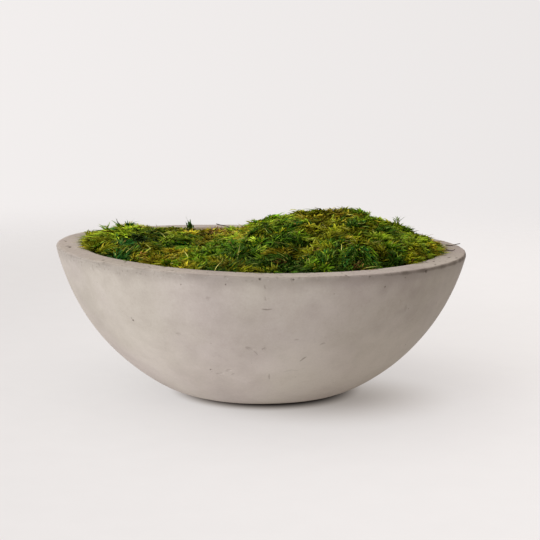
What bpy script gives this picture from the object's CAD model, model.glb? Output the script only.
"""Looks of a moss planting in a round bowl of cast concrete.

Metres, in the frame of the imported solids. Each cushion of moss is one mesh of
leaves over a dark core, and the bowl and the twigs are finer meshes of the
same form as their solids.
"""

import math
from collections import namedtuple

import bmesh
import bpy
import numpy as np
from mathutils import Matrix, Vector, noise
from mathutils.bvhtree import BVHTree
from mathutils.kdtree import KDTree


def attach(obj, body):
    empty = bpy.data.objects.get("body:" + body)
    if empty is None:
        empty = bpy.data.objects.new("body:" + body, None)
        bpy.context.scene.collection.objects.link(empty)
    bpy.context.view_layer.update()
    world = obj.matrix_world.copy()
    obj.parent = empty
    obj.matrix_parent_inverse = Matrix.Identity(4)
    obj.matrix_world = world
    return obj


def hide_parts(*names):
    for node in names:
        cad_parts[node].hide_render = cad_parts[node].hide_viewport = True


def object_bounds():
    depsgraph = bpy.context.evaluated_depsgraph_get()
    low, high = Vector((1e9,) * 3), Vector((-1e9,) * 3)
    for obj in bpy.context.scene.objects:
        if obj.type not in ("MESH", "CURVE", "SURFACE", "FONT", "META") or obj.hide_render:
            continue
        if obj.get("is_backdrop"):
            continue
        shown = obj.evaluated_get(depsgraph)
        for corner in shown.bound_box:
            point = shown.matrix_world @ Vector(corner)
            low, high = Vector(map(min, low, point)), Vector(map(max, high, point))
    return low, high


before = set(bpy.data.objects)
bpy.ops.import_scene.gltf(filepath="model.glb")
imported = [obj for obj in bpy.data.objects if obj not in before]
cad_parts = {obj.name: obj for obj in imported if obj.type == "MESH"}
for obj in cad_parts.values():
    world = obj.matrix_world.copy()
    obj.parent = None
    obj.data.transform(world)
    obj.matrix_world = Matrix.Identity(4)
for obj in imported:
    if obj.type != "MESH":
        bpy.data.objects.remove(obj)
cad_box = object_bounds()

MM = 0.001
UP = Vector((0, 0, 1))

# --- the bowl, as its solid has it, in its true round form

BOWL_HEIGHT = 144.6 * MM  # foot to rim
OUTER_RADIUS = 210.6 * MM
SPHERE_ABOVE_RIM = 49.2 * MM
WALL = 25.2 * MM
FLOOR_THICKNESS = 25 * MM
FOOT_RADIUS = 59 * MM
OUTER_ROUNDING = 2.2 * MM  # of the rim's edges
INNER_ROUNDING = 1.4 * MM
LEAN = 0.0225  # of the casting to one side, which fades out at the foot
LEAN_FADE = 45 * MM
RIM_SHEER = 3.2 * MM

SPHERE_Z = BOWL_HEIGHT + SPHERE_ABOVE_RIM
INNER_RADIUS = OUTER_RADIUS - WALL
MOUTH_RADIUS = math.sqrt(INNER_RADIUS ** 2 - SPHERE_ABOVE_RIM ** 2)

# The casting's surface
PROFILE_POINTS = (26, 6, 7, 42, 9)  # on each arc of the section, from inside to foot
BOWL_SEED = 3
BOWL_SEGMENTS = 280
UNEVEN = 0.4 * MM  # slow waviness of the handmade surface
UNEVEN_SIZE = 55 * MM
EDGE_WEAR = 0.5 * MM  # the rim's outer edge is worn by up to this
EDGE_WEAR_SIZE = 9 * MM
EDGE_WEAR_REACH = 4 * MM
EDGE_RADIUS = 206 * MM  # of the worn edge
RIM_ZONE = 2.6 * MM  # the sphere of the outside ends this far under the rim
MARK_MARGIN = 3.5 * MM  # finer mesh this far round a mark
MARK_CUTS = 3
FINE_MARGIN = 0.8 * MM
FINE_CUTS = 2
MARK_REACH = 1.8  # a mark's stain ends within this many radii
MARK_RAGGED = 0.4  # how ragged the border of a mark is
MARK_RAGGED_SIZE = 1.4 * MM

# Pits of the rim: degrees round the bowl, distance from the axis, radius, in mm
RIM_PITS = (
    (-163.6, 192.5, 1.7),
    (-165.5, 194, 1.1),
    (-176.8, 196.2, 1.1),
    (-137, 194.4, 1.2),
    (-130.7, 186.7, 0.9),
    (-120.4, 192.1, 1.1),
    (-117.7, 182.1, 0.9),
    (-96.8, 181.2, 0.8),
    (-68.3, 200.4, 1),
    (-34.9, 182.5, 1),
    (-33.6, 184.5, 1.3),
    (-31.1, 188.4, 1.1),
    (-36.1, 198.3, 0.9),
    (-30.2, 193.5, 0.7),
    (-20.4, 192, 1.3),
    (-21.2, 199.6, 1.2),
    (-175.7, 195.4, 0.8),
    (-112.8, 196.6, 0.8),
)
RIM_PIT_DENTS = (-1.5, -0.75, 0.0, 0.75, 1.5)  # a rim pit is a groove: its dents, in radii
RIM_PIT_TURN = 40  # degrees that the grooves turn off the Y axis

# Pits of the outside: degrees round the bowl, height over the foot, radius in mm, stain
WALL_PITS = (
    (-90, 142.6, 1.5, 0.6),
    (-81.9, 142.6, 1.1, 0.45),
    (-62.1, 142.8, 1.1, 0.6),
    (-42.9, 142, 2, 0.75),
    (-50.8, 138.7, 0.8, 0.5),
    (-56.9, 132.1, 1, 0.3),
    (-127.9, 93.3, 1.2, 0.8),
    (-128.2, 95.2, 0.8, 0.5),
    (-109.7, 133.8, 0.9, 0.22),
    (-98.2, 136.6, 1, 0.18),
    (-106.1, 50.4, 1.1, 0.5),
    (-71.3, 128.8, 0.6, 0.4),
    (-24.8, 90, 1, 0.5),
    (-34.7, 66.3, 0.9, 0.45),
)
RANDOM_RIM_PITS = 150
RANDOM_RIM_PLACES = (MOUTH_RADIUS / MM + 1.5, 203)  # distances from the axis, in mm
RANDOM_RIM_SIZES = (0.5, 1.1)  # radii in mm
RANDOM_WALL_PITS = 40
RANDOM_WALL_SIZES = (0.35, 0.7)
RIM_PIT_DEPTH = 0.5  # share of the pit's radius
WALL_PIT_DEPTH = 1.0
RIM_PIT_STAIN = 0.9
RANDOM_STAIN = (0.12, 0.55)

# Creases of the outside: width in mm, stain, then degrees and height of their points
CREASES = (
    (1.7, 0.55, (-89.4, 115.2), (-88.2, 114.7), (-86.8, 115.4)),
    (2.8, 0.15, (-88.8, 137), (-88.4, 133.5)),
    (2.6, 0.15, (-88.6, 126.6), (-88.3, 123)),
    (4.6, 0.2, (-93.6, 77.2), (-92.6, 76.2), (-91.6, 75.6)),
    (3.2, 0.12, (-91.2, 73.6), (-90, 70)),
    (4, 0.19, (-88.8, 75.8), (-87.9, 76.8)),
    (2, 0.48, (-77, 62.6), (-76.2, 65.4), (-75.3, 67.4)),
    (1.9, 0.28, (-86.2, 49), (-86, 42)),
    (2.4, 0.25, (-72.2, 79.4), (-71.4, 80.8), (-70.6, 81)),
    (2.4, 0.22, (-80, 85.2), (-78.8, 86.2)),
    (2.2, 0.16, (-81.4, 51), (-79, 53), (-76.4, 52)),
    (2, 0.2, (-99.2, 46.4), (-98, 48)),
    (4, 0.13, (-47.2, 112), (-46.6, 106)),
    (5.5, 0.09, (-113.6, 86), (-112.4, 84.6)),
    (4.5, 0.08, (-104.4, 46), (-102, 47)),
    (4.5, 0.1, (-100.4, 50.6), (-99.2, 51.6)),
    (2.4, 0.14, (-116, 143), (-110, 143.4), (-104, 143)),
    (5, 0.07, (-103, 123.5), (-102.2, 122)),
    (3, 0.15, (121, 84), (119.5, 81), (119, 76)),
    (1.5, 0.3, (63, 96), (61, 98)),
    (3.5, 0.13, (152, 60), (149, 61)),
    (2, 0.2, (21, 70), (22.5, 75)),
)
CREASE_DEPTH = 0.10  # share of the crease's width
CREASE_STEP = 0.25  # between the discs it is made of, as a share of its width
CREASE_TAPER = (0.45, 1.0)  # of the width, at its ends and its middle
LINE_THINNEST = 0.15  # and of a worn line, where it is thinnest
RIM_SPECKS = (138 * MM, 143 * MM)  # specks grow stronger between these heights

# Dark worn lines on the rim's edge: width in mm, stain, degrees from and to
EDGE_LINES = (
    (4.2, 0.6, -66, 12),
    (2.4, 0.26, -178, -122),
    (2.6, 0.24, 66, 124),
)
EDGE_LINE_STEP = 0.3  # degrees
EDGE_LINE_SIZE = 12 * MM  # of the thick and thin stretches of these lines

# Fine cracks of the rim: width in mm, stain, then degrees and distance from the axis
RIM_CRACKS = (
    (1.5, 0.6, (-20.6, 180), (-18.3, 182.6), (-15.8, 188)),
    (1.2, 0.45, (-20.4, 192), (-21.6, 195.5)),
)

# Darker clouds of the outside: degrees, height, radius in mm, stain
CLOUDS = (
    (-43, 112, 28, 0.12),
    (-50, 131, 22, 0.1),
    (-58, 130, 12, 0.07),
    (-33, 95, 18, 0.07),
    (-54.4, 95, 12, 0.04),
    (-146, 89, 18, 0.05),
    (-85.4, 83, 13, 0.04),
    (-113, 61, 12, 0.05),
    (-98, 108, 10, 0.03),
    (60, 100, 26, 0.08),
    (130, 70, 20, 0.07),
    (10, 60, 18, 0.06),
    (-89, 100, 50, 0.07),
)
CLOUD_SIZE = 16 * MM  # of the unevenness of the clouds
BAND_WIDTH = 15 * MM  # stained band under the rim
BAND_STAIN = 0.36
BAND_SHARES = (0.5, 1.0)  # of it at the left and right, and at the front and back
PALER_RIM = (0.12, 0.01)  # how much paler the rim is at the left and the right
PALER_FOOT = 0.10  # and the lower part of the outside
PALER_HEIGHTS = (105 * MM, 35 * MM)

# Colours of the concrete, linear, by the value of its noise, and casts they vary between
CONCRETE_COLOURS = (
    (0.38, (0.358, 0.311, 0.271, 1)),
    (0.50, (0.410, 0.359, 0.316, 1)),
    (0.60, (0.450, 0.399, 0.355, 1)),
)
CONCRETE_CASTS = ((1.0, 0.985, 0.99, 1), (0.995, 1.0, 0.955, 1))
STAIN_COLOUR = (0.098, 0.076, 0.056, 1)

# Specks: noise where they begin and where they are full, strength, colour
SPECKS = (
    (0.62, 0.70, 0.34, (0.12, 0.10, 0.08, 1)),
    (0.34, 0.27, 0.24, (0.66, 0.62, 0.55, 1)),
)

# --- moss

MOSS_SEED = 7
CLUMP_SPACING = 19 * MM  # hummocks of shoots
CLUMP_SHAKE = 0.36  # how far they are off an even grid, in spacings
CLUMP_RISE = 4.2 * MM  # top of a hummock over the creases round it
CLUMP_SINK = 3.2 * MM  # creases under the solids' surface
CLUMP_LEAN = 0.28  # how much the hummocks lean each their own way
CLUMP_OUTWARD = 1.1  # lean of the shoots off the hummock's middle
STEM_LEAN = 0.6  # how much of the lean the stems share
CLUMP_TONE = 0.17  # how much the hummocks differ in tone
CLUMP_TONES = (0.57, 0.56)  # tone in its creases, and what its top has more
CLUMP_EDGE = 0.75  # width of a hummock's slope, in spacings
OWN_COLOUR = 0.3  # share of the shoots with a colour of their own
TUFT_SPACING = 6.2 * MM
TUFT_SHAKE = 0.34
TUFT_DEPTH = 7.5 * MM  # roots of the shoots under the moss surface
TUFT_STEM = 5.0 * MM  # part of the shoot that bears leaves
ROW_GAP = 0.866  # between the rows of a grid, in spacings
LEAVES_PER_TUFT = 42
LEAF_LENGTH = 8.2 * MM
LEAF_WIDTH = 1.8 * MM
LEAF_SPREAD = (30, 82)  # degrees off the stem
LEAF_CURL = (0.4, 1.7)
LEAF_TONE = 0.17  # how much the leaves differ in tone, as CLUMP_TONE
SHOOT_TONE = 0.15  # and the shoots, in tone and height
SHOOT_RISE = 0.6 * MM
PRESSED_FROM = 1.6 * MM  # leaves bend over above this depth in the tuft
PRESSED_SHARE = 0.8  # how far they are bent down
FRONT_LOOSER = 0.42  # less of this at the front
FRONT_FROM = (-30 * MM, -110 * MM)
UPRIGHT_LEAVES = 0.32  # share of the leaves that stand up
UPRIGHT_SPREAD = 0.4  # their spread, as a share of the others'
UPRIGHT_PRESSED = 0.58  # and how far they are bent down
UPRIGHT_TINT = 1.25  # their ends are lighter
STRAW_CURL = 1.69  # the few leaves that curl more than this are dry strands
STRAW_STRETCH = 1.5
STRAW_WIDTH = 0.55
LEAF_ROWS = (0.0, 0.36, 0.72)  # along the leaf, as shares of its length
ROW_WIDTHS = (0.6, 1.0, 0.62)
LEAF_POINTS = 7  # two for each row, and the tip
CORNER_TONES = (0.58, 0.58, 0.85, 0.85, 1.0, 1.0, 1.08)  # from root to tip
CELL_ASIDE = (0.35, 0.65, 0.2, 0.8, 0.35, 0.65, 0.5)  # its points in a cell of the map
CELL_ALONG = (0.15, 0.15, 0.4, 0.4, 0.65, 0.65, 0.85)
COMB_SIZE = 34 * MM  # size of the regions that lean one way
COMB_SWIRL = 1.8
COMB_OUTWARD = 0.4  # lean to the wall
OUTWARD_FROM = (120 * MM, 180 * MM)
DRIFT_SIZES = (38 * MM, 24 * MM)  # of the regions of one colour
CORE_DEPTH = 6.0 * MM
CORE_ROUGH = 1.5 * MM
CORE_ROUGH_SIZE = 7 * MM
SURFACE_BELOW_RIM = 12 * MM  # no shoots grow deeper than this
RIM_GAP = 0.3 * MM  # between leaves and concrete

# Colours of living and dry leaves, linear
LEAF_COLOURS = {
    "deep": (0.034, 0.092, 0.003),
    "blue_green": (0.018, 0.115, 0.014),
    "mid": (0.105, 0.200, 0.004),
    "olive": (0.200, 0.205, 0.004),
    "gold": (0.365, 0.300, 0.016),
    "bright": (0.240, 0.330, 0.014),
    "brown": (0.190, 0.095, 0.022),
    "orange": (0.300, 0.130, 0.030),
}
KINDS = list(LEAF_COLOURS)
BROWN = KINDS.index("brown")  # the colours before it are the living ones
STRAW_COLOUR = (0.520, 0.500, 0.120)
CORE_COLOUR = (0.040, 0.048, 0.008)
STRAY_LEAVES = 0.09  # share of the leaves that take any of the living colours
BROWN_LEAVES = 0.012
PALE_LEAVES = 0.10
PALE_TINT = (0.130, 0.145, 0.032)  # what pale leaves have more than others

# Patches of one colour: centre x, y, spread x, y in mm, strength
PATCHES = {
    "olive": (
        (-168, -28, 16, 45, 3), (-92, -98, 22, 36, 2.5), (-125, 58, 26, 18, 3),
        (-100, 92, 28, 20, 2.4), (38, 0, 26, 14, 5), (62, -14, 48, 36, 3.2),
        (80, -101, 34, 12, 4), (53, -88, 10, 15, 14), (-14, -162, 15, 12, 30),
        (-40, -133, 9, 9, 50),
    ),
    "bright": (
        (-150, 12, 20, 38, 2.6), (-100, 92, 28, 20, 1.6), (2, -8, 16, 16, 4),
        (-143, -18, 14, 22, 9), (-138, 30, 22, 26, 2), (0, -25, 16, 30, 3),
        (-50, -30, 26, 34, 0.9), (158, -52, 26, 44, 3.6), (135, 20, 16, 16, 3),
    ),
    "blue_green": (
        (-132, -102, 17, 26, 4), (-147, 44, 12, 12, 6),
    ),
    "deep": (
        (-121, -42, 13, 36, 6), (4, -92, 26, 42, 3.2), (90, -136, 32, 17, 7),
        (36, -130, 26, 24, 1.8), (-14, -162, 15, 12, 30),
    ),
    "gold": (
        (-92, -98, 19, 32, 1.7), (38, 0, 26, 14, 2), (-40, 45, 16, 26, 3),
        (-40, 118, 24, 34, 2.4), (60, -20, 50, 30, 1), (80, -101, 30, 10, 0.8),
        (172, 4, 10, 30, 4),
    ),
    "mid": (
        (-92, -98, 22, 36, 0.9), (-116, -132, 9, 9, 4), (-50, -62, 22, 44, 3),
        (2, -55, 18, 22, 2.5), (118, -34, 14, 26, 2.4), (120, 2, 12, 12, 9),
        (114, 22, 20, 20, 5),
    ),
    "orange": (
        (-116, -128, 5, 7, 1.8),
    ),
    "brown": (
        (-46, 62, 16, 22, 2.4), (-43, 112, 22, 36, 3.4), (12, -146, 5, 5, 6),
        (22, -142, 4, 5, 5), (120, 2, 5, 5, -0.03), (83, -147, 5, 5, 9),
    ),
}

# Dips (or swells, if negative) of the moss: centre x, y, spread x, y, depth in mm,
# and how much darker (or lighter, if negative) the moss is there
DIPS = (
    (-119, -42, 13, 28, 3.4, 0.84),
    (-147, -34, 11, 17, -0.5, -0.75),
    (-162, 12, 12, 24, 5.6, 0),
    (-160, 34, 14, 20, 4.2, -0.12),
    (-58, 130, 16, 20, 1.5, 0),
    (-125, 58, 26, 18, 0.6, -0.45),
    (-98, 92, 28, 20, 2.4, -0.4),
    (-147, 42, 12, 12, -2, -0.02),
    (-138, 42, 13, 14, -3.4, -0.36),
    (-94, -100, 22, 30, 0, -0.22),
    (-132, -102, 12, 20, 0, 0.26),
    (-161, -55, 14, 18, 0, 0.12),
    (-138, 4, 14, 22, 0, -0.28),
    (-114, -126, 12, 18, 0, 0.38),
    (53, -90, 11, 16, 0, 0.18),
    (51, -62, 22, 14, 0, 0.14),
    (64, -33, 34, 18, 0, 0.1),
    (44, -132, 24, 14, 0, 0.1),
    (3, -50, 16, 16, 0, -0.16),
    (-12, -14, 12, 12, 0, -0.2),
    (125, 38, 16, 12, 0, -0.45),
    (148, 12, 12, 16, 0.5, -0.4),
    (149, -14, 14, 16, 2, -0.25),
    (159, -44, 12, 12, 0, -0.15),
    (-60, 20, 8, 22, 2, 0.35),
    (4, -45, 12, 24, 0, -0.2),
    (-6, -6, 14, 18, 0, -0.42),
    (14, 2, 26, 20, 6.2, -0.25),
    (102, 2, 9, 12, -2, 0),
    (-45, 112, 20, 30, 0, -0.15),
    (152, -62, 22, 26, 0, 0.1),
    (165, -35, 22, 28, 0, -0.15),
    (108, -40, 20, 30, 0, -0.12),
    (85, -104, 30, 10, 0, -0.1),
    (126, 14, 18, 20, 0, -0.48),
    (146, 12, 14, 26, 2.2, 0),
    (8, -100, 9, 26, 2.5, 0.2),
    (-20, -150, 40, 18, 0, 0.18),
    (58, 0, 20, 14, -3.4, 0),
    (92, -128, 26, 12, 2.5, 0.45),
    (144, 8, 10, 14, 5.4, 0),
    (0, -169, 80, 9, 0, 0.14),
    (-9, -71, 8, 8, 0, 0.36),
    (44, -82, 9, 8, -1, -0.35),
    (-174, -38, 12, 22, 0, 0.26),
    (-68, -42, 17, 32, 0, 0.17),
)

# Shoots that stand out of the moss: x, y, height in mm, spread in degrees, colour
STANDING_SHOOTS = (
    (-176, 12, 2, 50, "olive"),
    (-160, 30, 0, 50, "mid"),
    (-148, 40, 2.5, 50, "mid"),
    (-140, 44, 3, 40, "blue_green"),
    (-133, 46, 3, 40, "olive"),
    (-121, 50, 3, 16, "deep"),
    (-110, 62, 2, 26, "olive"),
    (-93, 84, 2.5, 16, "mid"),
    (-79, 99, 8, 7, "deep"),
    (-87, 96, 3.5, 24, "mid"),
    (83, 3, 1.5, 40, "bright"),
    (137, 9, 4.5, 30, "bright"),
)

# Feathery shoots that lie on the moss: x and y of both ends in mm, colour
FRONDS = (
    ((82, -120), (73, -148), "blue_green"),
    ((86, -122), (78, -150), "deep"),
    ((79, -120), (69, -146), "mid"),
    ((95, -118), (103, -140), "blue_green"),
    ((91, -120), (98, -144), "deep"),
    ((98, -117), (107, -138), "mid"),
    ((-164, -52), (-145, -64), "olive"),
    ((-148, -95), (-131, -88), "mid"),
    ((-52, 10), (-56, -8), "mid"),
    ((-46, 6), (-43, -16), "mid"),
    ((1, -28), (4, -66), "deep"),
    ((36, -80), (44, -78), "bright"),
    ((-105, -92), (-96, -118), "gold"),
    ((-76, -24), (-72, -52), "mid"),
    ((51, -118), (46, -146), "mid"),
    ((132, -58), (138, -76), "bright"),
)
FROND_STEP = 4 * MM

# Shoots that hang over the rim: degrees round the bowl of the first and to the next,
# then the reach in mm and the colour of each
LYING_SHOOTS = (
    (-19, 3, (0, "olive"), (2, "gold"), (3, "bright"),
     (3.5, "gold"), (3, "olive"), (2, "gold"),
     (2, "gold"), (1, "olive"), (-0.5, "bright")),
    (158, 4, (0, "mid"), (4.5, "deep"), (6.5, "mid"),
     (6.5, "deep"), (4.5, "olive"), (2.5, "mid"),
     (1, "olive"), (0, "deep"), (-1.5, "olive")),
)
LYING_LIFTS = (0.5, 4.5)  # heights over the rim, in mm

# One tuft of leaves: where it stands, the moss's normal there, the way of its stem and
# of its leaves, its colour and tone, how far its stem rises, from which height its
# leaves are bent down and how far, the angles they open to, their number and size
Shoot = namedtuple("Shoot", "place normal axis lean colour tone rise top bent spread leaves size")
# What the shoots of a kind share
STANDING_FORM = dict(tone=1.0, top=0.0, bent=0.0, leaves=12, size=0.85)
FROND_FORM = dict(tone=1.0, rise=3 * MM, top=0.8 * MM, bent=0.85, spread=(4, 30), leaves=12,
                  size=0.7)
LYING_FORM = dict(tone=1.0, top=0.5 * MM, bent=0.8, spread=(2, 55), leaves=24, size=0.75)

# --- twigs

# Name, thickness, points as x, y and height over the rim, in mm
TWIGS = (
    ("twig_rim_long", 1.1, ((188, 19, 0.2), (193, 16, 0), (198, 17.5, 0.8), (202.5, 15, 2))),
    ("twig_rim_short", 1, ((184, -13, 0.5), (185, -20, 0), (189, -24, 0), (192, -21, 0.9))),
    ("twig_back", 1.2, ((-52, 143, 5.5), (-47, 144, 4.2), (-42, 143, 3.6), (-36, 145, 1.8))),
)
TWIG_CLEARANCE = 0.4  # mm
TWIG_SIDES = 8
TWIG_STEPS = 22
TWIG_TAPER = 0.45
TWIG_END = 0.55  # of the radius, where the twig is rounded off
KNOT_SIZE = 2.2 * MM
KNOT_SHARE = 0.35  # of the radius

# --- studio

FLOOR_RADIUS = 2.2
FADE_START = 0.8  # the floor fades out from here to its edge
FLOOR_GLOW = 0.51  # its own light, less in the shadow and under the foot
FLOOR_SINK = 0.3 * MM  # keeps the floor and the foot apart
SHADOW_CENTRE = (62 * MM, -46 * MM, 0)
SHADOW_REACH = (141 * MM, 122 * MM, 1)
SHADOW_DEPTH = 0.54
GLOW_COLOURS = ((1.0, 0.90, 0.82, 1), (1.0, 0.968, 0.955, 1))  # in the shadow and out of it
CONTACT_CENTRE = (3 * MM, 0, 0)  # the darkest part, under the foot
CONTACT_REACH = (70 * MM, 100 * MM)
KEY_PLACE = (-2.1, -1.9, 0.62)
KEY_AIM = (0, 0, 0.1)
KEY_SIZE = 1.5
KEY_POWER = 68.0
KEY_COLOUR = (0.850, 0.896, 0.985)
SIDE_LIGHT = (0.9, 0.05)  # strength from the left and from the right
TOP_LIGHT = (1.78, 0.90)
LIGHT_COLOURS = ((1.0, 1.0, 0.995, 1), (1.0, 0.87, 0.82, 1))  # from the left and from the right
SHOWN_LIGHT = (0.95, 0.775)  # brightness of the background at the left and the right
SHOWN_COLOUR = (1.0, 0.965, 0.955, 1)
CAMERA_PLACE = (7.35 * MM, -1270 * MM, 304.7 * MM)
CAMERA_PITCH = 0.1437  # radians below level
CAMERA_LENS = 84.59


def smooth(t):
    t = np.clip(t, 0.0, 1.0)
    return t * t * (3 - 2 * t)


def eased(value, ends):
    """0 to 1, smoothly, as a value goes from the first of two ends to the other."""
    return smooth((value - ends[0]) / (ends[1] - ends[0]))


def mixed(ends, share):
    """What lies between two ends, by a share."""
    return ends[0] + (ends[1] - ends[0]) * share


def unit(vectors):
    return vectors / np.maximum(np.linalg.norm(vectors, axis=-1, keepdims=True), 1e-9)


def between(first, second, angles):
    """Directions that are turned by the angles from the first towards the second."""
    return first * np.cos(angles)[:, None] + second * np.sin(angles)[:, None]


def lump(point, size):
    """Smooth noise in space, about -0.5 to 0.5."""
    return noise.noise(Vector(point) / size)


def lumps(points, size):
    return np.array([lump(point, size) for point in points])


def settle_shift(points):
    """How far the leaning casting moves points of the true turned bowl."""
    x, z = points[:, 0], points[:, 2]
    over_foot = smooth(z / LEAN_FADE)
    sheer = RIM_SHEER * (z / BOWL_HEIGHT) ** 2 * (x / OUTER_RADIUS) ** 2
    aside = -LEAN * (SPHERE_Z - z)
    return np.stack([aside * over_foot, 0 * x, (sheer - LEAN * x) * over_foot], 1)


def settle(points):
    return points + settle_shift(points)


def unsettle(points):
    return points - settle_shift(points)


def spline_point(points, t):
    """Point on a smooth curve through the given points, t from 0 to 1."""
    spans = len(points) - 1
    i = min(int(t * spans), spans - 1)
    u = t * spans - i
    before = points[max(i - 1, 0)]
    after = points[min(i + 2, spans)]
    a, b = points[i], points[i + 1]
    return 0.5 * (2 * a + (b - before) * u + (2 * before - 5 * a + 4 * b - after) * u ** 2
                  + (3 * a - before - 3 * b + after) * u ** 3)


def shape_of(mesh):
    shape = bmesh.new()
    shape.from_mesh(mesh)
    return shape


def mesh_of(shape, name):
    mesh = bpy.data.meshes.new(name)
    shape.to_mesh(mesh)
    shape.free()
    return mesh


def read_points(mesh, kind="co"):
    points = np.empty(len(mesh.vertices) * 3, np.float32)
    mesh.vertices.foreach_get(kind, points)
    return points.reshape(-1, 3).astype(float)


def write_points(mesh, points):
    mesh.vertices.foreach_set("co", points.astype(np.float32).ravel())
    mesh.update()


def add_object(name, data):
    thing = bpy.data.objects.new(name, data)
    bpy.context.scene.collection.objects.link(thing)
    return thing


def add_piece(name, mesh, material, slot, *nodes):
    mesh.materials.append(material)
    piece = add_object(name, mesh)
    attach(piece, "root")
    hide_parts(*nodes)


# --- materials


class Nodes:
    """Short calls for building the nodes of a material or of the world."""

    def __init__(self, owner):
        owner.use_nodes = True
        self.owner = owner
        self.tree = owner.node_tree

    def feed(self, node, inputs):
        for key, value in inputs.items():
            if isinstance(value, bpy.types.NodeSocket):
                self.tree.links.new(value, node.inputs[key])
            else:
                node.inputs[key].default_value = value

    def surface(self, inputs):
        """The material, its shader fed with the inputs."""
        self.feed(self.tree.nodes["Principled BSDF"], inputs)
        return self.owner

    def add(self, kind, inputs, output=0, **settings):
        """One output of a new node."""
        node = self.tree.nodes.new("ShaderNode" + kind)
        for key, value in settings.items():
            setattr(node, key, value)
        self.feed(node, inputs)
        return node.outputs[output]

    def place(self, kind="Object"):
        return self.add("TexCoord", {}, kind)

    def along(self, axis, vector):
        return self.add("SeparateXYZ", {0: vector}, axis)

    def attribute(self, name, output="Fac"):
        return self.add("Attribute", {}, output, attribute_name=name)

    def noise(self, scale, detail=3.0, roughness=0.55):
        inputs = {"Vector": self.place(), "Scale": scale, "Detail": detail, "Roughness": roughness}
        return self.add("TexNoise", inputs)

    def ramp(self, value, first, *stops):
        colour = self.add("ValToRGB", {"Fac": value})
        elements = colour.node.color_ramp.elements
        elements[0].position, elements[0].color = first
        elements[1].position, elements[1].color = stops[-1]
        for place, middle in stops[:-1]:
            elements.new(place).color = middle
        return colour

    def scaled(self, value, low, high, to_low=0.0, to_high=1.0, kind="LINEAR"):
        ends = {"From Min": low, "From Max": high, "To Min": to_low, "To Max": to_high}
        return self.add("MapRange", {"Value": value, **ends}, interpolation_type=kind)

    def eased(self, *values):
        return self.scaled(*values, kind="SMOOTHSTEP")

    def mix(self, factor, first, second, blend="MIX"):
        inputs = {0: factor, 6: first, 7: second}
        return self.add("Mix", inputs, 2, data_type="RGBA", blend_type=blend)

    def tinted(self, colour, shade):
        """A colour, brighter or darker by a shade."""
        grey = self.add("CombineColor", {"Red": shade, "Green": shade, "Blue": shade})
        return self.mix(1.0, colour, grey, "MULTIPLY")

    def times(self, first, second, plus=0.0):
        return self.add("Math", {0: first, 1: second, 2: plus}, operation="MULTIPLY_ADD")

    def vector(self, operation, *values, output="Vector"):
        return self.add("VectorMath", dict(enumerate(values)), output, operation=operation)

    def bump(self, height, strength, distance):
        return self.add("Bump", {"Height": height, "Strength": strength, "Distance": distance})


def material_nodes(name):
    return Nodes(bpy.data.materials.new(name))


def concrete_material():
    """Cast concrete: soft clouds of warm and cool grey, fine grain, dark in its pits."""
    nodes = material_nodes("concrete")
    middle = nodes.noise(15.0, 4.0, 0.55)
    mottle = nodes.noise(60.0, 4.0, 0.6)
    grain = nodes.noise(520.0, 3.0, 0.6)
    tone = nodes.times(mottle, 0.16)
    tone = nodes.times(middle, 0.42, tone)
    tone = nodes.times(nodes.noise(4.5, 3.0, 0.5), 0.42, tone)
    colour = nodes.ramp(tone, *CONCRETE_COLOURS)
    hue = nodes.scaled(nodes.noise(10.0, 2.0), 0.38, 0.62)
    colour = nodes.mix(1.0, colour, nodes.mix(hue, *CONCRETE_CASTS), "MULTIPLY")
    fine = nodes.scaled(grain, 0.3, 0.7, 0.965, 1.03)
    fine = nodes.times(fine, nodes.attribute("pale"), fine)
    colour = nodes.tinted(colour, fine)
    near_rim = nodes.scaled(nodes.along("Z", nodes.place()), *RIM_SPECKS, 0.12, 1.0)
    noisy = nodes.noise(330.0, 1.0, 0.4)
    for low, high, strength, speck_colour in SPECKS:
        strength = nodes.times(near_rim, strength)
        speck = nodes.times(nodes.scaled(noisy, low, high), strength)
        colour = nodes.mix(speck, colour, speck_colour)
    relief = nodes.times(grain, 0.3, mottle)
    return nodes.surface({
        "Base Color": nodes.mix(nodes.attribute("stain"), colour, STAIN_COLOUR),
        "Roughness": nodes.scaled(middle, 0.35, 0.65, 0.70, 0.88),
        "Specular IOR Level": 0.3,
        "Normal": nodes.bump(relief, 0.25, 0.6 * MM),
    })


def moss_material():
    """Leaves take their colour from the mesh, with fine streaks and a soft sheen."""
    nodes = material_nodes("moss")
    streaks = nodes.noise(900.0, 2.0)
    shade = nodes.scaled(streaks, 0.3, 0.7, 0.86, 1.12)
    return nodes.surface({
        "Base Color": nodes.tinted(nodes.attribute("leaf_colour", "Color"), shade),
        "Roughness": nodes.scaled(streaks, 0.3, 0.7, 0.42, 0.62),
        "Specular IOR Level": 0.04,
    })


def grainy(name, grain, dark, light, roughness, relief):
    """Dark and light grains in relief, from the values of one noise."""
    nodes = material_nodes(name)
    grains = nodes.noise(*grain)
    return nodes.surface({
        "Base Color": nodes.ramp(grains, (0.35, dark), (0.7, light)),
        "Roughness": nodes.scaled(grains, 0.3, 0.7, *roughness),
        "Normal": nodes.bump(grains, *relief),
    })


def soil_material():
    grain = (220.0, 5.0, 0.7)
    colours = ((0.018, 0.012, 0.008, 1), (0.085, 0.058, 0.038, 1))
    return grainy("soil", grain, *colours, (0.85, 1.0), (0.8, 2 * MM))


def bark_material():
    grain = (700.0, 4.0, 0.6)
    colours = ((0.035, 0.022, 0.016, 1), (0.14, 0.085, 0.055, 1))
    return grainy("bark", grain, *colours, (0.7, 0.95), (0.6, 0.4 * MM))


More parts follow.
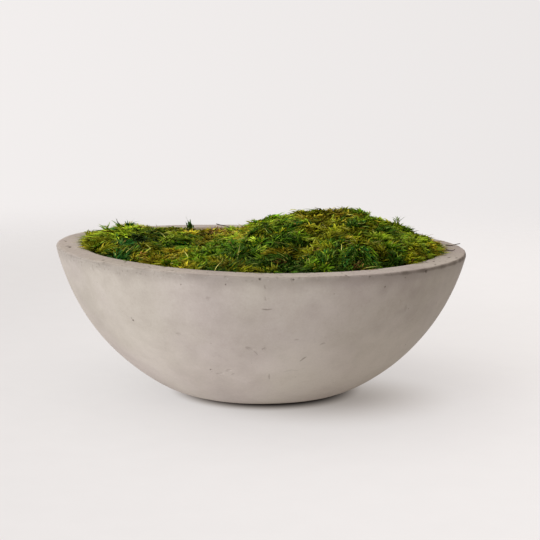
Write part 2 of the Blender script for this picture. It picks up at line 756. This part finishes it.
def floor_material():
    """Pale paper that fades out far from the object, so that no horizon shows."""
    nodes = material_nodes("floor")
    place = nodes.place()
    paper = nodes.noise(30.0, 2.0)
    colour = nodes.ramp(paper, (0.3, (0.305, 0.298, 0.292, 1)), (0.7, (0.315, 0.308, 0.302, 1)))
    from_foot = nodes.vector("DISTANCE", place, CONTACT_CENTRE, output="Value")
    contact = nodes.eased(from_foot, *CONTACT_REACH)
    aside = nodes.vector("SUBTRACT", place, SHADOW_CENTRE)
    aside = nodes.vector("DIVIDE", aside, SHADOW_REACH)
    far = nodes.vector("LENGTH", aside, output="Value")
    lit = nodes.eased(far, 0.0, 1.0, 1 - SHADOW_DEPTH)
    open_share = nodes.times(lit, contact)
    glow = nodes.times(open_share, FLOOR_GLOW)
    brighter = nodes.scaled(nodes.along("X", place), -0.35, 0.35, 0.87, 1.13)
    away = nodes.vector("LENGTH", place, output="Value")
    return nodes.surface({
        "Base Color": nodes.mix(contact, (0.095, 0.068, 0.052, 1), colour),
        "Roughness": nodes.scaled(paper, 0.3, 0.7, 0.9, 0.95),
        "Specular IOR Level": 0.1,
        "Alpha": nodes.eased(away, FADE_START, FLOOR_RADIUS, 1.0, 0.0),
        "Emission Color": nodes.mix(nodes.scaled(open_share, 0.3, 1.0), *GLOW_COLOURS),
        "Emission Strength": nodes.times(glow, brighter),
    })


# --- bowl


def arc(centre_r, centre_z, radius, start, end, count):
    angles = np.linspace(start, end, count)
    return list(zip(centre_r + radius * np.cos(angles), centre_z + radius * np.sin(angles)))


def rim_edge(sphere_radius, rounding, outside):
    """Centre of a rim rounding, and the angle where it meets the wall."""
    side = -1 if outside else 1
    z = BOWL_HEIGHT - rounding
    reach = sphere_radius + side * rounding
    r = math.sqrt(reach ** 2 - (SPHERE_Z - z) ** 2)
    return r, z, math.atan2(z - SPHERE_Z, r)


def bowl_profile():
    """Section of the wall, as of the solid, with a few millimetres between points."""
    up = math.pi / 2
    inside, inner_edge, outer_edge, outside, foot_edge = PROFILE_POINTS
    floor_angle = math.asin((FLOOR_THICKNESS - SPHERE_Z) / INNER_RADIUS)
    inner_r, inner_z, inner_meet = rim_edge(INNER_RADIUS, INNER_ROUNDING, False)
    outer_r, outer_z, outer_meet = rim_edge(OUTER_RADIUS, OUTER_ROUNDING, True)
    gap = OUTER_RADIUS ** 2 - FOOT_RADIUS ** 2 - SPHERE_Z ** 2
    fillet = gap / (2 * (OUTER_RADIUS - SPHERE_Z))
    fillet_meet = math.atan2(fillet - SPHERE_Z, FOOT_RADIUS)
    points = [(0.0, FLOOR_THICKNESS)]
    points += arc(0, SPHERE_Z, INNER_RADIUS, floor_angle, inner_meet, inside)
    points += arc(inner_r, inner_z, INNER_ROUNDING, inner_meet + math.pi, up, inner_edge)[1:]
    points += [(mixed((inner_r, outer_r), share), BOWL_HEIGHT) for share in (0.2, 0.4, 0.6, 0.8)]
    points += arc(outer_r, outer_z, OUTER_ROUNDING, up, outer_meet, outer_edge)
    points += arc(0, SPHERE_Z, OUTER_RADIUS, outer_meet, fillet_meet, outside)[1:]
    points += arc(FOOT_RADIUS, fillet, fillet, fillet_meet, -up, foot_edge)[1:]
    points += [(FOOT_RADIUS * share, 0.0) for share in (0.8, 0.5, 0.2, 0.0)]
    return points


def turned(profile, segments):
    """Mesh of a section turned about Z."""
    shape = bmesh.new()
    section = [shape.verts.new((r, 0, z)) for r, z in profile]
    edges = [shape.edges.new(pair) for pair in zip(section, section[1:])]
    bmesh.ops.spin(shape, geom=section + edges, angle=2 * math.pi, steps=segments,
                   axis=(0, 0, 1), cent=(0, 0, 0), use_merge=True)
    bmesh.ops.remove_doubles(shape, verts=shape.verts, dist=0.01 * MM)
    bmesh.ops.recalc_face_normals(shape, faces=shape.faces)
    return shape


def round_bowl(degrees, r, z):
    angle = math.radians(degrees)
    return np.array((r * math.cos(angle), r * math.sin(angle), z))


def rim_point(degrees, r):
    return round_bowl(degrees, r * MM, BOWL_HEIGHT)


def wall_point(degrees, height):
    r = math.sqrt(OUTER_RADIUS ** 2 - (SPHERE_Z - height * MM) ** 2)
    return round_bowl(degrees, r, height * MM)


def edge_point(degrees):
    """A point where the outer rounding of the rim runs into the wall."""
    r, z, _ = rim_edge(OUTER_RADIUS, OUTER_ROUNDING, True)
    return round_bowl(degrees, r + OUTER_ROUNDING, z + OUTER_ROUNDING * 0.2)


def pits(rng):
    """Pits as small discs: place, radius, depth and stain."""
    discs = []

    def add(place, radius, depth, stain):
        discs.append((place, radius * MM, radius * MM * depth, stain))

    for number, (degrees, r, radius) in enumerate(RIM_PITS):
        turn = math.radians(RIM_PIT_TURN * math.sin(2.3 * number))
        along = np.array((math.sin(turn), math.cos(turn), 0))
        for share in RIM_PIT_DENTS:
            place = rim_point(degrees, r) + along * radius * share * MM
            add(place, radius, RIM_PIT_DEPTH, RIM_PIT_STAIN)
    for degrees, height, radius, stain in WALL_PITS:
        add(wall_point(degrees, height), radius, WALL_PIT_DEPTH, stain)
    for _ in range(RANDOM_RIM_PITS):
        place = rim_point(rng.uniform(-180, 180), rng.uniform(*RANDOM_RIM_PLACES))
        add(place, rng.uniform(*RANDOM_RIM_SIZES), RIM_PIT_DEPTH, rng.uniform(*RANDOM_STAIN))
    for _ in range(RANDOM_WALL_PITS):
        place = wall_point(rng.uniform(-180, 180), 8 + 132 * rng.uniform(0, 1) ** 0.7)
        add(place, rng.uniform(*RANDOM_WALL_SIZES), WALL_PIT_DEPTH, rng.uniform(*RANDOM_STAIN))
    return discs


def line_disc(place, width, stain, taper):
    radius = width / 2 * MM * max(taper, LINE_THINNEST)
    return place, radius, radius * 2 * CREASE_DEPTH, stain * max(taper, 0.0)


def creases():
    """Creases and cracks as rows of discs that taper to both ends."""
    discs = []
    lines = [(wall_point, *line) for line in CREASES]
    lines += [(rim_point, *line) for line in RIM_CRACKS]
    for point_at, width, stain, *corners in lines:
        line = [Vector(point_at(*corner)) for corner in corners]
        length = sum((b - a).length for a, b in zip(line, line[1:]))
        steps = max(4, round(length / (CREASE_STEP * width * MM)))
        for step in range(steps + 1):
            taper = mixed(CREASE_TAPER, math.sin(math.pi * step / steps))
            place = np.array(spline_point(line, step / steps))
            discs.append(line_disc(place, width, stain, taper))
    return discs


def edge_lines():
    """Worn lines as rows of discs, thicker and thinner by stretches."""
    discs = []
    for width, stain, first, last in EDGE_LINES:
        for degrees in np.arange(first, last, EDGE_LINE_STEP):
            place = edge_point(degrees)
            end_share = (degrees - first) / (last - first)
            taper = smooth(5 * end_share) * smooth(5 * (1 - end_share))
            taper *= 0.8 + 0.7 * lump(place, EDGE_LINE_SIZE)
            discs.append(line_disc(place, width, stain, taper))
    return discs


def tree_of(points):
    tree = KDTree(len(points))
    for i, point in enumerate(points):
        tree.insert(point, i)
    tree.balance()
    return tree


def refine(shape, discs, margin, cuts):
    """Cut the faces near the marks finer."""
    faces = shape.faces[:]
    tree = tree_of([face.calc_center_median() for face in faces])
    near = set()
    for place, radius, _, _ in discs:
        near.update(found[1] for found in tree.find_range(place, radius + margin))
    edges = {edge for i in near for edge in faces[i].edges}
    bmesh.ops.subdivide_edges(shape, edges=list(edges), cuts=cuts, use_grid_fill=True)


def pressed_in(points, discs):
    """Depth and stain of the marks at each point, with ragged borders."""
    tree = tree_of(points)
    sunk = np.zeros(len(points))
    stained = np.zeros(len(points))
    for place, radius, depth, stain in discs:
        for point, i, away in tree.find_range(place, radius * MARK_REACH):
            ragged = radius * (1 + MARK_RAGGED * lump(point, MARK_RAGGED_SIZE))
            inside = 1 - smooth(away / ragged)
            stained_share = 1 - smooth((away / ragged - 0.45) / 0.75)
            sunk[i] = max(sunk[i], depth * inside)
            stained[i] = max(stained[i], stain * stained_share)
    return sunk, stained


def clouded(points):
    """Stain of the soft clouds and of the band under the rim at each point."""
    uneven = lumps(points, CLOUD_SIZE)
    stained = np.zeros(len(points))
    for degrees, height, radius, stain in CLOUDS:
        away = np.linalg.norm(points - wall_point(degrees, height), axis=1) / (radius * MM)
        stained += stain * (1 - smooth(away * (1 + 0.8 * uneven) * 0.85))
    reach = np.linalg.norm(points - (0, 0, SPHERE_Z), axis=1)
    outside = (reach > OUTER_RADIUS - 3 * MM) & (points[:, 2] < BOWL_HEIGHT - 0.1 * MM)
    below = (BOWL_HEIGHT - points[:, 2]) / BAND_WIDTH
    share = mixed(BAND_SHARES, smooth(abs(points[:, 1]) / OUTER_RADIUS))
    band = BAND_STAIN * share * (1 - smooth(below * (1 + 0.7 * uneven)))
    return stained + np.where(outside, band * (1 + 0.6 * uneven), 0.0)


def paler(points):
    """How much paler than elsewhere the casting is at each point."""
    rim = smooth((points[:, 2] - BOWL_HEIGHT) / (0.4 * MM) + 1)
    side = 0.5 + 0.5 * points[:, 0] / OUTER_RADIUS
    return mixed(PALER_RIM, side) * rim + PALER_FOOT * eased(points[:, 2], PALER_HEIGHTS)


def on_sphere(points):
    """Cut faces are flat, so their points go back to the sphere of the outside."""
    centre = np.array((0, 0, SPHERE_Z))
    reach = np.linalg.norm(points - centre, axis=1)
    outside = abs(reach - OUTER_RADIUS) < 0.1 * MM
    outside &= points[:, 2] < BOWL_HEIGHT - RIM_ZONE
    scale = np.where(outside, OUTER_RADIUS / reach, 1.0)
    return centre + (points - centre) * scale[:, None]


def worn(points, normals):
    """Slow waviness over the whole casting, and wear of the rim's outer edge."""
    wave = lumps(points, UNEVEN_SIZE) * UNEVEN
    r = np.hypot(points[:, 0], points[:, 1])
    from_edge = np.hypot(r - EDGE_RADIUS, points[:, 2] - BOWL_HEIGHT)
    wear = np.clip(0.35 + lumps(points, EDGE_WEAR_SIZE) * 1.6, 0, 1)
    wear *= smooth(1.3 - from_edge / EDGE_WEAR_REACH) * EDGE_WEAR
    over_foot = smooth(points[:, 2] / (6 * MM))
    return points + normals * ((wave - wear) * over_foot)[:, None]


def build_bowl(material):
    small = pits(np.random.default_rng(BOWL_SEED)) + creases()
    discs = small + edge_lines()
    shape = turned(bowl_profile(), BOWL_SEGMENTS)
    refine(shape, discs, MARK_MARGIN, MARK_CUTS)
    refine(shape, small, FINE_MARGIN, FINE_CUTS)
    bmesh.ops.triangulate(shape, faces=[face for face in shape.faces if len(face.verts) > 4])
    mesh = mesh_of(shape, "concrete_bowl")
    clean = on_sphere(read_points(mesh))
    write_points(mesh, clean)
    normals = read_points(mesh, "normal")
    sunk, stained = pressed_in(clean, discs)
    stained = 1 - (1 - stained) * (1 - clouded(clean))
    write_points(mesh, settle(worn(clean, normals) - normals * sunk[:, None]))
    mesh.shade_smooth()
    for name, values in (("stain", stained), ("pale", paler(clean))):
        layer = mesh.attributes.new(name, "FLOAT", "POINT")
        layer.data.foreach_set("value", values.astype(np.float32))
    add_piece("concrete_bowl", mesh, material, "concrete", "bowl")


# --- moss


def field(x, y, size, seed):
    """Smooth noise over the plan, about -0.5 to 0.5."""
    return noise.noise(Vector((x / size, y / size, seed)))


def comb(x, y):
    """Which way the leaves lean at a place: a swirl, and outward near the wall."""
    swirl = Vector((field(x, y, COMB_SIZE, 3.1), field(x, y, COMB_SIZE, 7.7)))
    r = math.hypot(x, y)
    outward = Vector((x, y)) / max(r, MM) * float(eased(r, OUTWARD_FROM))
    return swirl * COMB_SWIRL + outward * COMB_OUTWARD


def nearness(x, y, centre_x, centre_y, spread_x, spread_y):
    """1 at the centre of a patch, less with the distance, by its spread."""
    across = ((x / MM - centre_x) / spread_x) ** 2 + ((y / MM - centre_y) / spread_y) ** 2
    return math.exp(-across / 2)


def pick_colour(x, y, rng):
    """Number of a leaf colour, by the share of each at a place."""
    drift = field(x, y, DRIFT_SIZES[0], 21.3)
    other = field(x, y, DRIFT_SIZES[1], 44.9)
    shares = {
        "deep": 0.9 * max(0.0, 0.25 - drift),
        "blue_green": 0.5 * max(0.0, 0.1 - other),
        "mid": 0.6,
        "olive": 0.8 * max(0.0, 0.35 + drift),
        "gold": 0.5 * max(0.0, 0.15 + drift),
        "bright": 0.5 * max(0.0, 0.2 + other),
        "brown": 0.03,
        "orange": 0.004,
    }
    for colour, patches in PATCHES.items():
        for *patch, strength in patches:
            shares[colour] += strength * nearness(x, y, *patch)
    weights = np.array([shares[name] for name in KINDS])
    return rng.choice(len(weights), p=weights / weights.sum())


def dip(x, y):
    """Extra depth and darkening of the moss at a place."""
    depth, dark = 0.0, 0.0
    for *patch, full_depth, darkening in DIPS:
        near = nearness(x, y, *patch)
        depth += full_depth * MM * near
        dark += darkening * near
    return depth, dark


def shaken_grid(spacing, shake, rng):
    """Places in plan on a shaken triangular grid over the bowl's mouth."""
    places = []
    rows = int(MOUTH_RADIUS / spacing / ROW_GAP) + 1
    columns = int(MOUTH_RADIUS / spacing) + 2
    for row in range(-rows, rows + 1):
        for column in range(-columns, columns + 1):
            x, y = rng.uniform(-shake, shake, 2) * spacing
            x += (column + 0.5 * (row % 2)) * spacing
            y += row * spacing * ROW_GAP
            if math.hypot(x, y) < MOUTH_RADIUS + 2 * MM:
                places.append((x, y))
    return np.array(places)


def cushion_trees():
    trees = {}
    for name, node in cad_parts.items():
        if name.startswith("moss_"):
            shape = shape_of(node.data)
            trees[name] = BVHTree.FromBMesh(shape)
            shape.free()
    return trees


def moss_surface(trees, x, y):
    """Highest cushion at a place in plan: its name, the point and the normal."""
    best = None
    for name, tree in trees.items():
        place, normal, _, _ = tree.ray_cast(Vector((x, y, 0.4)), -UP)
        if place is not None and (best is None or place.z > best[1].z):
            best = (name, place, normal)
    if best is None or best[1].z < BOWL_HEIGHT - SURFACE_BELOW_RIM:
        return None
    return best


def cushion_shoots(trees, rng):
    """The shoots that cover the cushions, in hummocks of one colour and lean."""
    clumps = shaken_grid(CLUMP_SPACING, CLUMP_SHAKE, rng)
    colours = [pick_colour(x, y, rng) for x, y in clumps]
    leans = rng.normal(0, CLUMP_LEAN, (len(clumps), 2))
    tones = np.exp(rng.normal(0, CLUMP_TONE, len(clumps)))
    for x, y in shaken_grid(TUFT_SPACING, TUFT_SHAKE, rng):
        found = moss_surface(trees, x, y)
        if found is None:
            continue
        name, place, normal = found
        gaps = np.hypot(clumps[:, 0] - x, clumps[:, 1] - y)
        nearest = int(gaps.argmin())
        second = np.partition(gaps, 1)[1]
        dome = smooth((second - gaps[nearest]) / (CLUMP_EDGE * CLUMP_SPACING))
        from_clump = (np.array((x, y)) - clumps[nearest]) / CLUMP_SPACING
        lean = comb(x, y) + Vector(leans[nearest] + from_clump * CLUMP_OUTWARD)
        slope = Vector((normal.x, normal.y)) * STEM_LEAN
        axis = Vector((lean.x * STEM_LEAN + slope.x, lean.y * STEM_LEAN + slope.y, 1.0))
        own = rng.uniform() < OWN_COLOUR
        colour = pick_colour(x, y, rng) if own else colours[nearest]
        depth, dark = dip(x, y)
        tone = tones[nearest] * (CLUMP_TONES[0] + CLUMP_TONES[1] * dome) * (1 - dark)
        rise = CLUMP_RISE * dome - CLUMP_SINK - depth
        bent = PRESSED_SHARE - FRONT_LOOSER * eased(y, FRONT_FROM)
        yield name, Shoot(place, normal, axis.normalized(), lean, colour, tone=tone, rise=rise,
                          top=rise, bent=bent, spread=LEAF_SPREAD, leaves=LEAVES_PER_TUFT, size=1.0)


def standing_shoots(trees, rng):
    """Tufts one over the other, up to the height of each standing shoot."""
    for x, y, height, spread, colour in STANDING_SHOOTS:
        name, place, normal = moss_surface(trees, x * MM, y * MM)
        lean = Vector(rng.normal(0, 0.2, 2))
        for rise in np.linspace(0, height * MM, 1 + round(height / 3)):
            yield name, Shoot(place, normal, UP, lean, KINDS.index(colour),
                              rise=rise, spread=(2, spread), **STANDING_FORM)


def fronds(trees):
    """Flat tufts in a row from one end of a frond to the other."""
    for first, last, colour in FRONDS:
        first, last = Vector(first) * MM, Vector(last) * MM
        lean = (last - first).normalized() * 2
        axis = Vector((lean.x, lean.y, 0.3)).normalized()
        for share in np.linspace(0, 1, 1 + round((last - first).length / FROND_STEP)):
            name, place, normal = moss_surface(trees, *first.lerp(last, share))
            yield name, Shoot(place, normal, axis, lean, KINDS.index(colour), **FROND_FORM)


def lying_shoots(trees):
    """Tufts over the rim, of the cushion that is the nearest."""
    for first, step, *row in LYING_SHOOTS:
        for i, (reach, colour) in enumerate(row):
            angle = math.radians(first + step * i)
            lean = Vector((math.cos(angle), math.sin(angle))) * 2
            axis = Vector((lean.x, lean.y, 0.5)).normalized()
            for lift in LYING_LIFTS:
                edge = (*(lean / 2 * (MOUTH_RADIUS - lift * MM)), BOWL_HEIGHT + lift * MM)
                place = Vector(settle(np.array([edge]))[0])
                name = min(trees, key=lambda cushion: trees[cushion].find_nearest(place)[3])
                yield name, Shoot(place, UP, axis, lean, KINDS.index(colour),
                                  rise=reach * MM, **LYING_FORM)


def plant_shoots(rng):
    """Every shoot of the moss, by cushion."""
    trees = cushion_trees()
    shoots = {name: [] for name in trees}
    groups = (cushion_shoots(trees, rng), standing_shoots(trees, rng), fronds(trees),
              lying_shoots(trees))
    for group in groups:
        for name, shoot in group:
            shoots[name].append(shoot)
    return shoots


def for_each_leaf(shoots, rng):
    """The shoots as arrays, with one row for each of their leaves."""
    shoot = Shoot(*(np.array(values) for values in zip(*shoots)))
    shoot = shoot._replace(tone=shoot.tone * np.exp(rng.normal(0, SHOOT_TONE, len(shoots))),
                           rise=shoot.rise + rng.normal(0, SHOOT_RISE, len(shoots)))
    return Shoot(*(np.repeat(values, shoot.leaves, axis=0) for values in shoot))


def leaf_arrays(shoots, rng):
    """Corner points and colours (leaves, corners, 3) of every leaf of a cushion."""
    shoot = for_each_leaf(shoots, rng)
    stem = shoot.axis
    total = len(stem)
    spin = rng.uniform(0, 2 * math.pi, total)
    up_stem = rng.uniform(0, 1, total)
    across = unit(np.cross(stem, np.array([0.3, 1.0, 0.1])))
    radial = between(across, np.cross(stem, across), spin)
    standing = rng.uniform(0, 1, total) < UPRIGHT_LEAVES
    open_angle = np.radians(rng.uniform(shoot.spread[:, 0], shoot.spread[:, 1]))
    start = between(stem, radial, open_angle * np.where(standing, UPRIGHT_SPREAD, 1))
    length = LEAF_LENGTH * shoot.size * np.exp(np.minimum(rng.normal(0, 0.25, total), 0.3))
    width = LEAF_WIDTH * shoot.size * rng.uniform(0.5, 1.25, total)
    curl = rng.uniform(*LEAF_CURL, total)
    straw = curl > STRAW_CURL
    length *= np.where(straw, STRAW_STRETCH, 1.0)
    width *= np.where(straw, STRAW_WIDTH, 1.0)
    up_stem = np.where(straw, 1.0, up_stem)
    lean = np.pad(shoot.lean, ((0, 0), (0, 1)))
    bend = unit(lean * 1.5 + radial * 0.4 - stem * 0.45 + rng.normal(0, 0.3, (total, 3)))
    bend = bend * curl[:, None]
    height = shoot.rise - TUFT_DEPTH + up_stem * TUFT_STEM
    root = shoot.place + stem * height[:, None] + radial * 0.8 * MM
    root += rng.normal(0, 1.1 * MM, (total, 3)) * np.array([1, 1, 0.3])
    points = leaf_corners(stem, root, start, bend, length, width, rng.normal(0, 0.7, total))
    bent = shoot.bent * np.where(standing, UPRIGHT_PRESSED, rng.uniform(0.6, 1.1, total))
    up = np.array([[0.0, 0.0, 1.0]])
    points = pressed(points, shoot.place, shoot.normal, shoot.top - PRESSED_FROM, bent)
    points = pressed(points, shoot.place, up, shoot.top, bent * 0.8)
    return points, leaf_colours(shoot, standing, straw, rng)


def leaf_corners(stem, root, start, bend, length, width, roll):
    """Points of the leaves: both sides of every row, then the tip."""
    points = np.empty((len(root), LEAF_POINTS, 3))
    for row, (share, relative) in enumerate(zip(LEAF_ROWS, ROW_WIDTHS)):
        middle = root + length[:, None] * (share * start + 0.5 * share ** 2 * bend)
        along = unit(start + share * bend)
        flat = unit(np.cross(along, stem + 0.01))
        side = between(flat, np.cross(along, flat), roll)
        half = side * (0.5 * relative * width)[:, None]
        points[:, 2 * row] = middle - half
        points[:, 2 * row + 1] = middle + half
    points[:, -1] = root + length[:, None] * (start + 0.5 * bend)
    return points


def leaf_colours(shoot, standing, straw, rng):
    """Colours of the leaves, darker to the root, with a few stray and pale ones."""
    total = len(standing)
    tone = shoot.tone[:, None, None]
    stray = rng.uniform(0, 1, total)
    kind = np.where(stray < STRAY_LEAVES, rng.integers(0, BROWN, total), shoot.colour)
    kind = np.where(stray > 1 - BROWN_LEAVES, BROWN, kind)
    leaf_tone = shoot.tone * np.exp(rng.normal(0, LEAF_TONE, total))
    colour = np.array(list(LEAF_COLOURS.values()))[kind] * leaf_tone[:, None]
    pale = np.where(rng.uniform(0, 1, total) < PALE_LEAVES, 1.0, 0.1)[:, None, None]
    colours = colour[:, None] * np.array(CORNER_TONES)[:, None]
    colours[:, 4:] += np.array(PALE_TINT) * pale * np.minimum(tone, 1.0)
    colours[:, 4:] *= np.where(standing, UPRIGHT_TINT, 1.0)[:, None, None]
    colours[straw] = np.array(STRAW_COLOUR) * np.minimum(tone[straw], 1.0)
    return np.clip(colours, 0, 0.9)


def pressed(points, place, normal, start, share):
    """Leaf points with what stands over the start height bent down by a share."""
    height = ((points - place[:, None]) * normal[:, None]).sum(-1)
    bent = np.maximum(height - start[:, None], 0) * share[:, None]
    return points - normal[:, None] * bent[:, :, None]


def keep_inside_bowl(points):
    """Lift leaf points off the rim, and pull the ones under it off the wall."""
    free = unsettle(points.reshape(-1, 3))
    r = np.hypot(free[:, 0], free[:, 1])
    over_rim = (r > MOUTH_RADIUS) & (free[:, 2] > BOWL_HEIGHT - 6 * MM)
    lifted = np.maximum(free[:, 2], BOWL_HEIGHT + RIM_GAP)
    free[:, 2] = np.where(over_rim, lifted, free[:, 2])
    below = np.minimum(free[:, 2], BOWL_HEIGHT)
    limit = np.sqrt(INNER_RADIUS ** 2 - (SPHERE_Z - below) ** 2) - RIM_GAP
    limit = np.where(free[:, 2] > BOWL_HEIGHT, np.inf, limit)
    free[:, :2] *= np.minimum(1.0, limit / np.maximum(r, MM))[:, None]
    return settle(free).reshape(points.shape)


def core_mesh(node):
    """The cushion's own solid drawn in and roughened, for the dark between the leaves."""
    shape = shape_of(node.data)
    bmesh.ops.subdivide_edges(shape, edges=shape.edges[:], cuts=1, use_grid_fill=True)
    bmesh.ops.triangulate(shape, faces=shape.faces[:])
    shape.normal_update()
    for vertex in shape.verts:
        if vertex.normal.z > -0.5:
            rough = lump(vertex.co, CORE_ROUGH_SIZE) * CORE_ROUGH
            lower = CORE_DEPTH * (1 - max(0.0, vertex.normal.z))
            lower += max(0.0, dip(vertex.co.x, vertex.co.y)[0])
            vertex.co -= vertex.normal * (CORE_DEPTH + rough) + Vector((0, 0, lower))
    points = np.array([tuple(v.co) for v in shape.verts])
    faces = [[v.index for v in f.verts] for f in shape.faces]
    shape.free()
    return points, faces


def build_cushion(name, shoots, material, rng):
    leaves, colours = leaf_arrays(shoots, rng)
    leaves = keep_inside_bowl(leaves)
    core_points, core_faces = core_mesh(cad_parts[name])
    total = len(leaves)
    leaf_points = total * LEAF_POINTS
    start = np.arange(total)[:, None] * LEAF_POINTS
    quads = np.concatenate([start + (0, 1, 3, 2), start + (2, 3, 5, 4)])
    faces = quads.tolist() + (start + (4, 5, 6)).tolist()
    faces += [[i + leaf_points for i in face] for face in core_faces]
    points = np.concatenate([leaves.reshape(-1, 3), core_points])
    mesh = bpy.data.meshes.new(name + "_leaves")
    mesh.from_pydata(points.tolist(), [], faces)
    mesh.shade_smooth()
    tints = np.ones((len(points), 4), np.float32)
    tints[:leaf_points, :3] = colours.reshape(-1, 3)
    tints[leaf_points:, :3] = CORE_COLOUR
    layer = mesh.color_attributes.new("leaf_colour", "FLOAT_COLOR", "POINT")
    layer.data.foreach_set("color", tints.ravel())
    lay_out_leaves(mesh, total)
    add_piece(name + "_leaves", mesh, material, "moss", name)


def lay_out_leaves(mesh, total):
    """A map with one small cell for each leaf, root to tip, and one for the core."""
    cells = math.ceil(math.sqrt(total + 1))
    corner = np.empty(len(mesh.loops), np.int32)
    mesh.loops.foreach_get("vertex_index", corner)
    leaf = np.minimum(corner // LEAF_POINTS, total)
    in_core = leaf == total
    part = np.where(in_core, 0, corner % LEAF_POINTS)
    aside = np.where(in_core, 0.2 + 0.6 * (corner % 5) / 4, np.array(CELL_ASIDE)[part])
    along = np.where(in_core, 0.2 + 0.6 * (corner % 3) / 2, np.array(CELL_ALONG)[part])
    u = (leaf % cells + aside) / cells
    v = (leaf // cells + along) / cells
    layer = mesh.uv_layers.new(name="OFBake")
    layer.data.foreach_set("uv", np.stack([u, v], 1).astype(np.float32).ravel())


def build_moss(material):
    rng = np.random.default_rng(MOSS_SEED)
    for name, shoots in plant_shoots(rng).items():
        build_cushion(name, shoots, material, rng)


# --- twigs


def build_twig(name, thickness, places, material):
    base = BOWL_HEIGHT / MM + thickness / 2 + TWIG_CLEARANCE
    middle = [Vector((x, y, base + lift)) * MM for x, y, lift in places]
    shape = bmesh.new()
    rings = []
    for step in range(TWIG_STEPS + 1):
        t = step / TWIG_STEPS
        centre = spline_point(middle, t)
        ahead = spline_point(middle, min(t + 0.02, 1.0)) - spline_point(middle, max(t - 0.02, 0.0))
        side = ahead.cross(UP).normalized()
        rise = side.cross(ahead).normalized()
        knot = 1 + KNOT_SHARE * lump(centre, KNOT_SIZE)
        end = TWIG_END if step in (0, TWIG_STEPS) else 1.0
        radius = thickness / 2 * MM * (1 - TWIG_TAPER * t) * knot * end
        ring = []
        for k in range(TWIG_SIDES):
            angle = 2 * math.pi * k / TWIG_SIDES
            offset = side * math.cos(angle) + rise * math.sin(angle)
            ring.append(shape.verts.new(centre + offset * radius))
        rings.append(ring)
    for lower, upper in zip(rings, rings[1:]):
        for k in range(TWIG_SIDES):
            following = (k + 1) % TWIG_SIDES
            shape.faces.new((lower[k], lower[following], upper[following], upper[k]))
    shape.faces.new(rings[0][::-1])
    shape.faces.new(rings[-1])
    bmesh.ops.recalc_face_normals(shape, faces=shape.faces)
    mesh = mesh_of(shape, name + "_bark")
    write_points(mesh, settle(read_points(mesh)))
    mesh.shade_smooth()
    add_piece(name + "_bark", mesh, material, "bark", name)


# --- studio


def build_stage():
    shape = bmesh.new()
    bmesh.ops.create_circle(shape, cap_ends=True, segments=96, radius=FLOOR_RADIUS)
    mesh = mesh_of(shape, "floor")
    mesh.materials.append(floor_material())
    floor = add_object("floor", mesh)
    floor.location.z = -FLOOR_SINK
    floor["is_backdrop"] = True


def build_key():
    data = bpy.data.lights.new("key", "AREA")
    data.shape = "DISK"
    data.size = KEY_SIZE
    data.energy = KEY_POWER
    data.color = KEY_COLOUR
    lamp = add_object("key", data)
    lamp.location = KEY_PLACE
    lamp.rotation_mode = "QUATERNION"
    lamp.rotation_quaternion = (Vector(KEY_AIM) - Vector(KEY_PLACE)).to_track_quat("-Z", "Y")


def build_world():
    """Soft light from overhead and the left, dim on the right, before a pale background."""
    world = bpy.data.worlds.new("studio")
    nodes = Nodes(world)
    direction = nodes.place("Generated")
    across = nodes.along("X", direction)
    height = nodes.eased(nodes.along("Z", direction), 0.3, 0.95)
    side = nodes.eased(across, -1.0, 0.45, *SIDE_LIGHT)
    top = nodes.eased(across, -0.8, 0.8, *TOP_LIGHT)
    light = nodes.tree.nodes["Background"]
    nodes.feed(light, {
        "Strength": nodes.add("Mix", {0: height, 2: side, 3: top}),
        "Color": nodes.mix(nodes.eased(across, -0.8, 0.8), *LIGHT_COLOURS),
    })
    brightness = nodes.eased(across, -1.0, 1.0, *SHOWN_LIGHT)
    shown = nodes.add("Background", {"Color": SHOWN_COLOUR, "Strength": brightness})
    seen = nodes.add("LightPath", {}, "Is Camera Ray")
    choice = nodes.add("MixShader", {0: seen, 1: light.outputs[0], 2: shown})
    nodes.feed(nodes.tree.nodes["World Output"], {"Surface": choice})
    bpy.context.scene.world = world


def build_camera():
    data = bpy.data.cameras.new("camera")
    data.sensor_width = 36.0
    data.lens = CAMERA_LENS
    camera = add_object("camera", data)
    camera.location = CAMERA_PLACE
    camera.rotation_euler = (math.pi / 2 - CAMERA_PITCH, 0, 0)
    bpy.context.scene.camera = camera


build_camera()
build_stage()
build_key()
build_world()
bpy.context.scene.view_settings.view_transform = "Standard"
build_bowl(concrete_material())
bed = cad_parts["growing_bed"].data
bed.materials.clear()
bed.materials.append(soil_material())
build_moss(moss_material())
bark = bark_material()
for twig in TWIGS:
    build_twig(*twig, bark)

[[list(corner) for corner in box] for box in (cad_box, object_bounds())]
